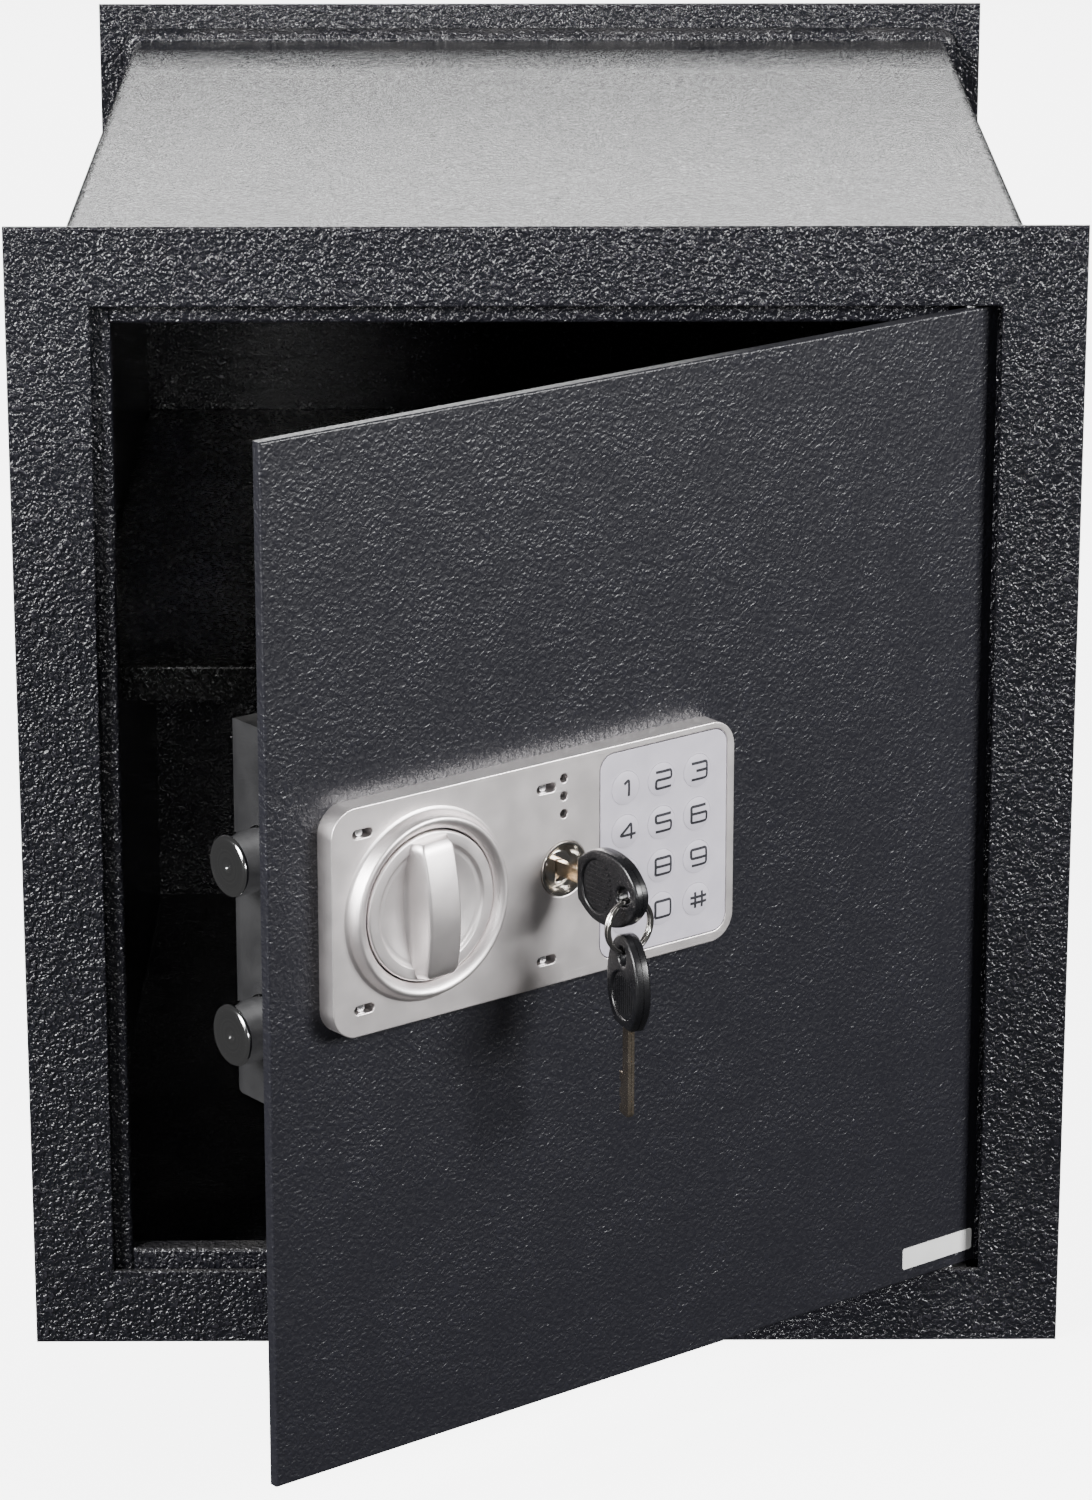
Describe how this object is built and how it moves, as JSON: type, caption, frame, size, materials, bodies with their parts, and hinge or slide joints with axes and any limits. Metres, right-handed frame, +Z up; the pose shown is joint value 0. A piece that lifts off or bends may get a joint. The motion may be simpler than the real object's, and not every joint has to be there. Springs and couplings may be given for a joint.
{
  "type": "wall safe",
  "caption": "Built-in steel wall safe with front and rear flanges, right-hung door, keypad lock with knob, emergency key lock, round bolts and one shelf.",
  "frame": {"origin": "centre of the four anchor holes, on the back face of the rear plate", "axes": "+X to the right seen from the front, +Y towards the back (into the wall), +Z up"},
  "size_m": [0.39, 0.6653, 0.434],
  "materials": {
    "hammertone_charcoal": "coarse hammertone powder coat, charcoal black",
    "door_charcoal": "fine hammertone powder coat, bluish charcoal",
    "cover_black": "smooth matt black paint",
    "silver_paint": "satin silver metallic paint",
    "keypad_film": "lavender grey matt film with printed digits",
    "lamp_lens": "dark glossy lens",
    "zinc_steel": "bright zinc plated steel",
    "chrome": "polished chrome plate",
    "nickel": "polished nickel plate, slightly warm",
    "brass": "cut brass",
    "black_plastic": "black moulded nylon",
    "board_green": "solder mask",
    "cell_sleeve": "printed sleeve",
    "reset_red": "red moulded button",
    "label_white": "blank paper label"
  },
  "bodies": {
    "cabinet": {"front_flange": "hammertone_charcoal", "body_shell": "hammertone_charcoal", "rear_plate": "hammertone_charcoal", "rear_weld_bead": "hammertone_charcoal", "stop_left": "hammertone_charcoal", "stop_right": "hammertone_charcoal", "stop_top": "hammertone_charcoal", "stop_bottom": "hammertone_charcoal", "bolt_keeper": "hammertone_charcoal", "hinge_bushes": "zinc_steel", "shelf": "hammertone_charcoal", "shelf_rail_left": "hammertone_charcoal", "shelf_rail_right": "hammertone_charcoal"},
    "door": {"door_plate": "door_charcoal", "hinge_pins": "zinc_steel", "lock_panel": "silver_paint", "keypad_film": "keypad_film", "circuit_board": "board_green", "lamp_lenses": "lamp_lens", "panel_screws": "zinc_steel", "blank_label": "label_white", "bolt_guide": "zinc_steel", "solenoid_body": "zinc_steel", "lock_cover": "cover_black", "battery_box": "black_plastic", "battery_cells": "cell_sleeve", "battery_hatch": "cover_black", "cover_screws": "zinc_steel", "lock_dish": "nickel", "lock_barrel": "zinc_steel"},
    "knob": {"knob": "silver_paint", "knob_spindle": "zinc_steel"},
    "bolts": {"bolt_carriage": "zinc_steel", "bolt_lower": "chrome", "bolt_upper": "chrome"},
    "plunger": {"solenoid_plunger": "zinc_steel"},
    "reset_button": {"reset_button": "reset_red"},
    "plug": {"lock_plug": "nickel"},
    "key_in_lock": {"key_bow_1": "black_plastic", "key_blade_1": "brass"},
    "ring": {"key_ring": "zinc_steel"},
    "hanging_key": {"key_bow_2": "black_plastic", "key_blade_2": "brass"},
    "pad_key_1": {"key_1": "keypad_film"},
    "pad_key_2": {"key_2": "keypad_film"},
    "pad_key_3": {"key_3": "keypad_film"},
    "pad_key_4": {"key_4": "keypad_film"},
    "pad_key_5": {"key_5": "keypad_film"},
    "pad_key_6": {"key_6": "keypad_film"},
    "pad_key_7": {"key_7": "keypad_film"},
    "pad_key_8": {"key_8": "keypad_film"},
    "pad_key_9": {"key_9": "keypad_film"},
    "pad_key_star": {"key_star": "keypad_film"},
    "pad_key_0": {"key_0": "keypad_film"},
    "pad_key_hash": {"key_hash": "keypad_film"}
  },
  "joints": [
    {"name": "door_hinge", "type": "hinge", "parent": "cabinet", "child": "door", "pos_m": [0.1533, -0.4684, 0], "axis": [0, 0, 1], "range_deg": [-37.8, 72]},
    {"name": "knob_turn", "type": "hinge", "parent": "door", "child": "knob", "pos_m": [-0.0493, -0.62555, 0.017], "axis": [-0.6129, 0.7902, 0], "range_deg": [0, 90]},
    {"name": "bolts_slide", "type": "slide", "parent": "door", "child": "bolts", "axis": [-0.7902, -0.6129, 0], "range_m": [0, 0.017]},
    {"name": "plunger_slide", "type": "slide", "parent": "door", "child": "plunger", "axis": [0, 0, 1], "range_m": [0, 0.006]},
    {"name": "reset_press", "type": "slide", "parent": "door", "child": "reset_button", "axis": [0.6129, -0.7902, 0], "range_m": [0, 0.0015], "stiffness_N_per_m": 400, "springref_m": -0.001},
    {"name": "plug_turn", "type": "hinge", "parent": "door", "child": "plug", "pos_m": [-0.00212, -0.58896, 0.017], "axis": [0.6129, -0.7902, 0], "range_deg": [0, 90]},
    {"name": "key_withdraw", "type": "slide", "parent": "plug", "child": "key_in_lock", "axis": [0.6129, -0.7902, 0], "range_m": [0, 0.03]},
    {"name": "ring_swing", "type": "hinge", "parent": "key_in_lock", "child": "ring", "pos_m": [0.02742, -0.62704, 0.0155], "axis": [0.7902, 0.6129, 0], "range_deg": [-60, 5]},
    {"name": "hanging_key_swing", "type": "hinge", "parent": "ring", "child": "hanging_key", "pos_m": [0.02742, -0.62704, -0.0033], "axis": [0.7902, 0.6129, 0], "range_deg": [-15, 10]},
    {"name": "press_1", "type": "slide", "parent": "door", "child": "pad_key_1", "axis": [-0.6129, 0.7902, 0], "range_m": [0, 0.0008], "stiffness_N_per_m": 500, "springref_m": -0.0005},
    {"name": "press_2", "type": "slide", "parent": "door", "child": "pad_key_2", "axis": [-0.6129, 0.7902, 0], "range_m": [0, 0.0008], "stiffness_N_per_m": 500, "springref_m": -0.0005},
    {"name": "press_3", "type": "slide", "parent": "door", "child": "pad_key_3", "axis": [-0.6129, 0.7902, 0], "range_m": [0, 0.0008], "stiffness_N_per_m": 500, "springref_m": -0.0005},
    {"name": "press_4", "type": "slide", "parent": "door", "child": "pad_key_4", "axis": [-0.6129, 0.7902, 0], "range_m": [0, 0.0008], "stiffness_N_per_m": 500, "springref_m": -0.0005},
    {"name": "press_5", "type": "slide", "parent": "door", "child": "pad_key_5", "axis": [-0.6129, 0.7902, 0], "range_m": [0, 0.0008], "stiffness_N_per_m": 500, "springref_m": -0.0005},
    {"name": "press_6", "type": "slide", "parent": "door", "child": "pad_key_6", "axis": [-0.6129, 0.7902, 0], "range_m": [0, 0.0008], "stiffness_N_per_m": 500, "springref_m": -0.0005},
    {"name": "press_7", "type": "slide", "parent": "door", "child": "pad_key_7", "axis": [-0.6129, 0.7902, 0], "range_m": [0, 0.0008], "stiffness_N_per_m": 500, "springref_m": -0.0005},
    {"name": "press_8", "type": "slide", "parent": "door", "child": "pad_key_8", "axis": [-0.6129, 0.7902, 0], "range_m": [0, 0.0008], "stiffness_N_per_m": 500, "springref_m": -0.0005},
    {"name": "press_9", "type": "slide", "parent": "door", "child": "pad_key_9", "axis": [-0.6129, 0.7902, 0], "range_m": [0, 0.0008], "stiffness_N_per_m": 500, "springref_m": -0.0005},
    {"name": "press_star", "type": "slide", "parent": "door", "child": "pad_key_star", "axis": [-0.6129, 0.7902, 0], "range_m": [0, 0.0008], "stiffness_N_per_m": 500, "springref_m": -0.0005},
    {"name": "press_0", "type": "slide", "parent": "door", "child": "pad_key_0", "axis": [-0.6129, 0.7902, 0], "range_m": [0, 0.0008], "stiffness_N_per_m": 500, "springref_m": -0.0005},
    {"name": "press_hash", "type": "slide", "parent": "door", "child": "pad_key_hash", "axis": [-0.6129, 0.7902, 0], "range_m": [0, 0.0008], "stiffness_N_per_m": 500, "springref_m": -0.0005}
  ],
  "couplings": [
    {"joint": "knob_turn", "follows": "bolts_slide", "rad_per_m": 92.4}
  ]
}
